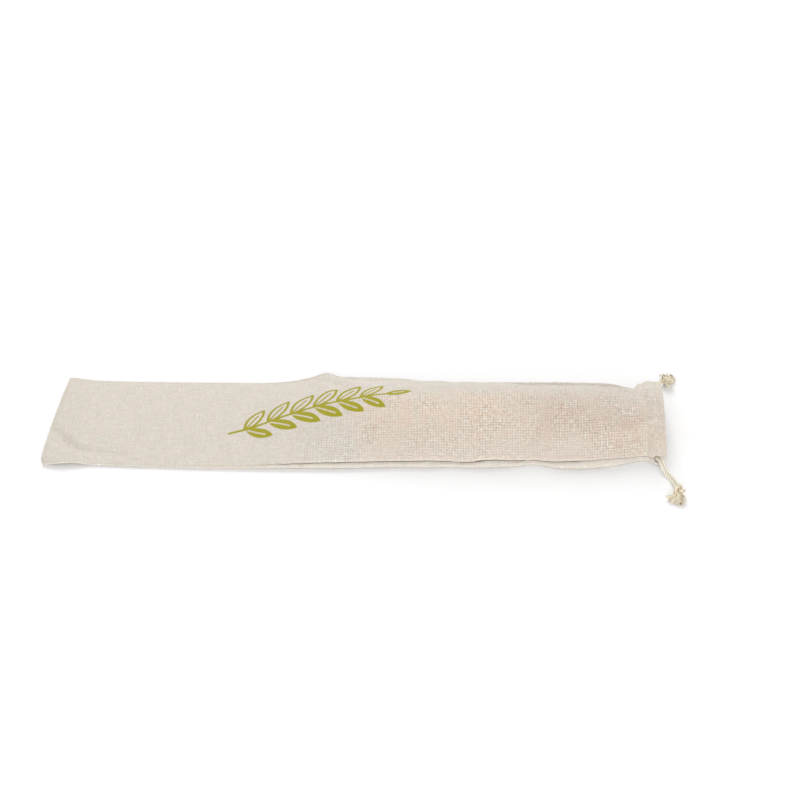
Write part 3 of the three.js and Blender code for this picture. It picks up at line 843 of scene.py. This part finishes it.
def frayed_fibres(middle, end, fray):
    """The loose fibres that fan out of a knot, as tubes."""
    chance = np.random.default_rng(FRAY_SEED)
    evenness = FRAY_SPREAD["evenness"]
    tubes = []
    for _ in range(FRAY["fibres"]):
        bearing = fray["heading"] + fray["fan"] * (chance.beta(evenness, evenness) - 0.5)
        length = mix(FRAY["shortest"], FRAY["longest"], chance.random())
        out = np.array([math.cos(bearing), math.sin(bearing), 0.0])
        root = mix(middle, end, FRAY_START["share"]) + chance.normal(0, FRAY_START["scatter"], 3)
        root[2] = max(root[2], FRAY_START["lowest"])
        tip_height = FRAY["root"] + FRAY_SPREAD["rise"] * chance.random() ** FRAY_SPREAD["rise_power"]
        curls = chance.normal(0, FRAY_SPREAD["curl"], (3, 3))
        lift = curls[0, 2] * FRAY_SPREAD["lift"]
        points = [root]
        for curl, (along, curled, risen) in zip(curls, FIBRE_POINTS):
            point = root + out * length * along + curl * curled
            point[2] = max(mix(root[2], tip_height, risen) + lift, FRAY["root"])
            points.append(point)
        path = smooth_path(points, length / FRAY["steps"])
        radius = np.linspace(FRAY["root"], FRAY["tip"], len(path))[:, None]
        dark = fray["darkest"] * chance.random() ** FRAY_SPREAD["dark_power"]
        tubes.append((path, radius, FRAY["sides"], dark))
    return tubes


# Stitches of the hem


STITCH = {"length": 2.6, "pitch": 3.4, "radius": 0.26, "bow": 0.2, "sides": 8, "rings": 6}
BESIDE = 0.5  # distance to the rows of points on both sides of a row of stitches


def stitch_shape():
    """The points and faces of one stitch, a short thread that bows up out of the cloth."""
    bpy.ops.object.select_all(action="DESELECT")
    bpy.ops.mesh.primitive_uv_sphere_add(segments=STITCH["sides"], ring_count=STITCH["rings"], radius=1)
    model = bpy.context.object
    points = np.array([v.co for v in model.data.vertices])
    # Sorted, because a new sphere's faces come in another order each run
    faces = sorted(tuple(p.vertices) for p in model.data.polygons)
    bpy.data.objects.remove(model)
    points = points[:, (2, 0, 1)] * (STITCH["length"] / 2, STITCH["radius"], STITCH["radius"])
    points[:, 2] -= STITCH["bow"] * (2 * points[:, 0] / STITCH["length"]) ** 2
    return points, faces


def row_of_places(rows):
    """Places a stitch apart along the middle one of three rows of points, each with its directions."""
    lengths = lengths_along(rows)[1]
    places = np.arange(STITCH["pitch"], lengths[-1] - STITCH["pitch"], STITCH["pitch"])
    along = unit(points_at(places, lengths, np.gradient(rows[1], axis=0)))
    normal = unit(np.cross(points_at(places, lengths, rows[2] - rows[0]), along))
    return zip(points_at(places, lengths, rows[1]), along, np.cross(normal, along), normal)


def hem_stitches(name, outside_at):
    """Two rows of running stitches across a panel. outside_at gives its outside at some sections."""
    points, faces = stitch_shape()
    vertices, all_faces = [], []
    for line in CHANNEL:
        rows = outside_at(np.array([[line - BESIDE], [line], [line + BESIDE]]))
        for centre, along, across, normal in row_of_places(rows):
            first = len(vertices)
            spots = centre + points @ np.array([along, across, normal])
            spots[:, 2] = np.maximum(spots[:, 2], 0.0)
            vertices += list(spots)
            all_faces += [tuple(v + first for v in face) for face in faces]
    return mesh_piece(name, vertices, all_faces)


# Materials


def linear(code):
    """An sRGB hex colour as linear RGBA."""
    parts = [int(code[i : i + 2], 16) / 255 for i in (1, 3, 5)]
    return tuple(p / 12.92 if p <= 0.04045 else ((p + 0.055) / 1.055) ** 2.4 for p in parts) + (1.0,)


def add_node(tree, kind, inputs, **settings):
    """Adds a shader node. An input is a plain value or another node's output."""
    node = tree.nodes.new("ShaderNode" + kind)
    for name, value in settings.items():
        setattr(node, name, value)
    for name, value in inputs.items():
        if isinstance(value, bpy.types.NodeSocket):
            tree.links.new(value, node.inputs[name])
        else:
            node.inputs[name].default_value = value
    return node


def new_material(name):
    material = bpy.data.materials.new(name)
    material.use_nodes = True
    material.node_tree.nodes.clear()
    return material, material.node_tree


def per(millimetres):
    """Texture scale for a pattern of that size on coordinates in metres."""
    return 1 / (millimetres * MM)


MIX_A, MIX_B, MIX_COLOUR = 6, 7, 2  # the colour sockets of the mix node


def maths(tree, operation, *values):
    return add_node(tree, "Math", dict(enumerate(values)), operation=operation).outputs[0]


def ranged(tree, value, start, end, low=0.0, high=1.0, held=True):
    """A value moved from the range of start to end into that of low to high, and held inside it."""
    inputs = {"Value": value, "From Min": start, "From Max": end, "To Min": low, "To Max": high}
    return add_node(tree, "MapRange", inputs, clamp=held).outputs[0]


def mixed(tree, share, first, second, blend="MIX"):
    inputs = {0: share, MIX_A: first, MIX_B: second}
    return add_node(tree, "Mix", inputs, data_type="RGBA", blend_type=blend).outputs[MIX_COLOUR]


def noise(tree, where, size, detail=2.0):
    """Soft patches of a size in millimetres."""
    return add_node(tree, "TexNoise", {"Vector": where, "Scale": per(size), "Detail": detail}).outputs["Fac"]


def look(tree, name):
    """A value that the piece has at each of its points."""
    return add_node(tree, "Attribute", {}, attribute_name=name).outputs["Fac"]


FIBRE_BUMP = {"Strength": 0.5, "Distance": 0.3 * MM}


def matte_fibres(tree, colour, height, looks):
    """Ends a material of fibres that stand up by its height."""
    normal = add_node(tree, "Bump", {"Height": height, **FIBRE_BUMP}).outputs["Normal"]
    shader = add_node(tree, "BsdfPrincipled", {"Base Color": colour, "Normal": normal, **looks})
    add_node(tree, "OutputMaterial", {"Surface": shader.outputs["BSDF"]})


WAVE_PERIOD = math.pi / 10  # of the wave texture at scale 1
THREAD_PITCH = 2.9  # really about 0.8 mm, drawn coarser so that the weave shows from this far
THREAD_WAVER = {"Distortion": 1.7, "Detail": 2.0, "Detail Scale": 0.5}
# Marks along the threads, as how many times longer than wide they are and how wide in millimetres
SLUB_MARKS = (8, 2.2)
DASH_MARKS = (3, 1.7)
PATCHES = {"ways": 8, "cloudy": 15, "pressed": 30}  # sizes in millimetres
# Thin and thick threads, first where the cloth is cooler and then where it is warmer
THREAD_TONES = (("#d1cbc0", "#d9d3c8"), ("#d5cbc0", "#ddd3c9"))
FLECK_TONE = "#efe7da"
TINT_SHADE_AND_LIGHT_TONES = ("#cebaaa", "#e4cfbc")  # a warm tint with painted shade over the hollow, and its lighter tone where light is painted on the top
FAR_SHADE_TONE = "#c9c3b8"  # painted shade on the far flank
INK_TONE = "#a29b10"
INK_EDGE = 0.35
# The threads' contrast where the weave is closed and where it is open, and their shade and light as factors
CONTRAST = (0.12, 0.67)
RELIEF = {"share": 0.6, "offset": -0.2}
THREAD_SHADE = (0.68, 0.59, 0.51, 1.0)
THREAD_LIGHT = (1.32, 1.41, 1.49, 1.0)
SLUB_HEIGHT = 0.8
# Ranges of the patterns: from where to where each is used, and what values that gives it
LINEN_RANGES = {
    "ways": (0.4, 0.6, 0.15, 0.85),
    "slubs": (0.42, 0.58),
    "flecks": (0.6, 0.7, 0.0, 0.95),
    "dashes": (0.39, 0.61, 0.0, 0.9),
    "cloudy": (0.38, 0.62),
    "closed": (0.0, 0.7, 1.0, 0.1),
    "pressed": (0.4, 0.6, 1.2, 0.45),
    "patchy": (0.0, 1.0, 0.35, 0.7),
    "sunk": (0.0, 1.0, 0.9, 1.0),
}
LINEN = {"Roughness": 0.92, "Specular IOR Level": 0.25, "Sheen Weight": 0.04, "Sheen Roughness": 0.6}


def thread_marks(tree, flat, longer_and_wide, share):
    """Noise drawn out along the panel and across it, mixed by share."""
    longer, wide = longer_and_wide
    ways = []
    for stretch in ((1 / longer, 1.0, 1.0), (1.0, 1 / longer, 1.0)):
        along = add_node(tree, "Mapping", {"Vector": flat, "Scale": stretch}).outputs["Vector"]
        ways.append(noise(tree, along, wide))
    return add_node(tree, "Mix", {0: share, 2: ways[0], 3: ways[1]}).outputs[0]


def linen(name, printed):
    """Unbleached linen in plain weave: matte, with uneven threads, slubs and flecks. The printed panel has a
    warm tint with painted shade over the hollow, where its threads stand out, painted light on the top of
    the hollow and painted shade on its far flank, and a water-based ink that sinks into its threads."""
    material, tree = new_material(name)
    ranges = LINEN_RANGES
    flat = add_node(tree, "UVMap", {}, uv_map="flat_cloth").outputs["UV"]
    wave = {"Vector": flat, "Scale": WAVE_PERIOD * per(THREAD_PITCH), **THREAD_WAVER}
    threads = [add_node(tree, "TexWave", wave, bands_direction=way).outputs["Fac"] for way in ("X", "Y")]
    weave = maths(tree, "MAXIMUM", *threads)
    # Patches in which the threads along the panel stand out a little more than those across it, or less
    ways = ranged(tree, noise(tree, flat, PATCHES["ways"], 1.0), *ranges["ways"])
    slubs = ranged(tree, thread_marks(tree, flat, SLUB_MARKS, 0.5), *ranges["slubs"])
    marks = thread_marks(tree, flat, DASH_MARKS, ways)
    flecks = ranged(tree, marks, *ranges["flecks"])
    dashes = ranged(tree, marks, *ranges["dashes"])
    cloudy = ranged(tree, noise(tree, flat, PATCHES["cloudy"]), *ranges["cloudy"])
    contrast = CONTRAST[0]
    if printed:
        opened = look(tree, "open_weave")
        flecks = maths(tree, "MULTIPLY", flecks, ranged(tree, opened, *ranges["closed"]))
        pressed = ranged(tree, noise(tree, flat, PATCHES["pressed"]), *ranges["pressed"])
        contrast = ranged(tree, maths(tree, "MULTIPLY", opened, pressed), 0.0, 1.0, *CONTRAST, held=False)
    tones = [mixed(tree, slubs, linear(thin), linear(thick)) for thin, thick in THREAD_TONES]
    colour = mixed(tree, cloudy, *tones)
    colour = mixed(tree, flecks, colour, linear(FLECK_TONE))
    if printed:
        # A warm tint over the hollow, partly the colour of the contents that showed through and partly
        # painted shade
        patchy = ranged(tree, cloudy, *ranges["patchy"])
        tint_and_painted_shade = maths(tree, "MULTIPLY", look(tree, "tint_and_painted_shade"), patchy)
        # The tint is lighter where light is painted onto the top of the hollow
        tint_shaded_or_lit = mixed(tree, look(tree, "painted_light"), *[linear(tone) for tone in TINT_SHADE_AND_LIGHT_TONES])
        colour = mixed(tree, tint_and_painted_shade, colour, tint_shaded_or_lit)
        # Painted shade on the far flank
        colour = mixed(tree, look(tree, "painted_far_shade"), colour, linear(FAR_SHADE_TONE))
    # The threads' light and shade, as factors of the colour, darkest in the gaps between them
    gaps = maths(tree, "MULTIPLY", *[maths(tree, "SUBTRACT", 1.0, thread) for thread in threads])
    relief = maths(tree, "SUBTRACT", dashes, gaps)
    relief = maths(tree, "MULTIPLY_ADD", relief, RELIEF["share"], RELIEF["offset"])
    shade = maths(tree, "MULTIPLY_ADD", relief, contrast, 0.5)
    shade = mixed(tree, shade, THREAD_SHADE, THREAD_LIGHT)
    colour = mixed(tree, 1.0, colour, shade, "MULTIPLY")
    if printed:
        ink = ranged(tree, look(tree, "ink"), -INK_EDGE, INK_EDGE, 1.0, 0.0)
        ink = maths(tree, "MULTIPLY", ink, ranged(tree, weave, *ranges["sunk"]))
        colour = mixed(tree, ink, colour, linear(INK_TONE))
    height = maths(tree, "MULTIPLY_ADD", slubs, SLUB_HEIGHT, weave)
    matte_fibres(tree, colour, height, LINEN)
    return material


COTTON = {"Roughness": 0.95, "Specular IOR Level": 0.2, "Sheen Weight": 0.2}
TWISTED_TONES = ("#fffdf2", "#d6c9a8")
KNOTTED_TONES = ("#fbf3de", "#a88a5c")
SEWING_TONES = ("#ddd4c6", "#c6bba9")
FIBRES = {"size": 0.9, "detail": 3.0}
YARN_PATCH = {"size": 5, "share": 0.45}
YARN_RANGES = {"deep": (0.0, 0.45), "shade": (0.12, 1.1)}


def cotton_yarn(name, light, dark):
    """Unbleached cotton, twisted from soft yarns: matte and fuzzy, darker with painted shade between the
    plies, and with some fibres darker in tone.
    """
    material, tree = new_material(name)
    place = add_node(tree, "TexCoord", {}).outputs["Object"]
    # Painted shade between the plies, and the fibres' own darker tones
    deep = ranged(tree, look(tree, "ply_shade_and_fibre_tone"), *YARN_RANGES["deep"])
    shade = maths(tree, "MULTIPLY_ADD", noise(tree, place, YARN_PATCH["size"]), YARN_PATCH["share"], deep)
    shade = ranged(tree, shade, *YARN_RANGES["shade"])
    colour = mixed(tree, shade, linear(light), linear(dark))
    matte_fibres(tree, colour, noise(tree, place, FIBRES["size"], FIBRES["detail"]), COTTON)
    return material


def matte_white(name):
    """Smooth white studio paper: matte and even."""
    material, tree = new_material(name)
    shader = add_node(tree, "BsdfPrincipled", {"Base Color": linear("#fbfbfb"), "Roughness": 0.9})
    add_node(tree, "OutputMaterial", {"Surface": shader.outputs["BSDF"]})
    return material


def finish_piece(piece, material, slot, *nodes):
    """Gives a piece its material and its place in the model, and the nodes that it stands for."""
    piece.data.materials.clear()
    piece.data.materials.append(material)
    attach(piece, BODY)
    if nodes:
        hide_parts(*nodes)


# Studio


FLOOR_SIZE = 12.0
SKY = 0.59
LAMPS = {
    "window": {"place": (0.2, 3.2, 2.15), "power": 94.0, "size": 1.8},
    "reflector": {"place": (0.2, -3.6, 1.0), "power": 100.0, "size": 3.0},
}


def add_studio():
    bpy.ops.object.select_all(action="DESELECT")
    bpy.ops.mesh.primitive_plane_add(size=FLOOR_SIZE)
    floor = bpy.context.object
    floor.name = "floor"
    floor.data.materials.append(matte_white("white_paper"))
    for name, lamp in LAMPS.items():
        bpy.ops.object.light_add(type="AREA", location=lamp["place"])
        light = bpy.context.object
        light.name = name
        light.rotation_euler = (-Vector(lamp["place"])).to_track_quat("-Z", "Y").to_euler()
        light.data.energy = lamp["power"]
        light.data.size = lamp["size"]
    world = bpy.data.worlds.new("studio")
    world.use_nodes = True
    background = world.node_tree.nodes["Background"]
    background.inputs["Color"].default_value = (1.0, 1.0, 1.0, 1.0)
    background.inputs["Strength"].default_value = SKY
    bpy.context.scene.world = world
    bpy.context.scene.view_settings.view_transform = "Standard"


# The bag


add_camera()
twisted_cotton = cotton_yarn("twisted_cotton", *TWISTED_TONES)
knotted_cotton = cotton_yarn("knotted_cotton", *KNOTTED_TONES)
sewing_thread = cotton_yarn("cotton_sewing_thread", *SEWING_TONES)
drawcord("near", NEAR_ROUTE, NEAR_KNOT, NEAR_FRAY)
drawcord("far", FAR_ROUTE, FAR_KNOT, FAR_FRAY)

front = front_panel()
back = back_panel()
front_thread = hem_stitches("front_hem_stitches", lambda x: front_grid(x, front_shares())[0])
back_thread = hem_stitches("back_hem_stitches", lambda x: back_grid(x)[0])
finish_piece(front, linen("printed_linen", True), "linen_cloth", "upper_panel")
finish_piece(back, linen("plain_linen", False), "linen_cloth", "lower_panel")
finish_piece(front_thread, sewing_thread, "cotton_cord")
finish_piece(back_thread, sewing_thread, "cotton_cord")
add_studio()
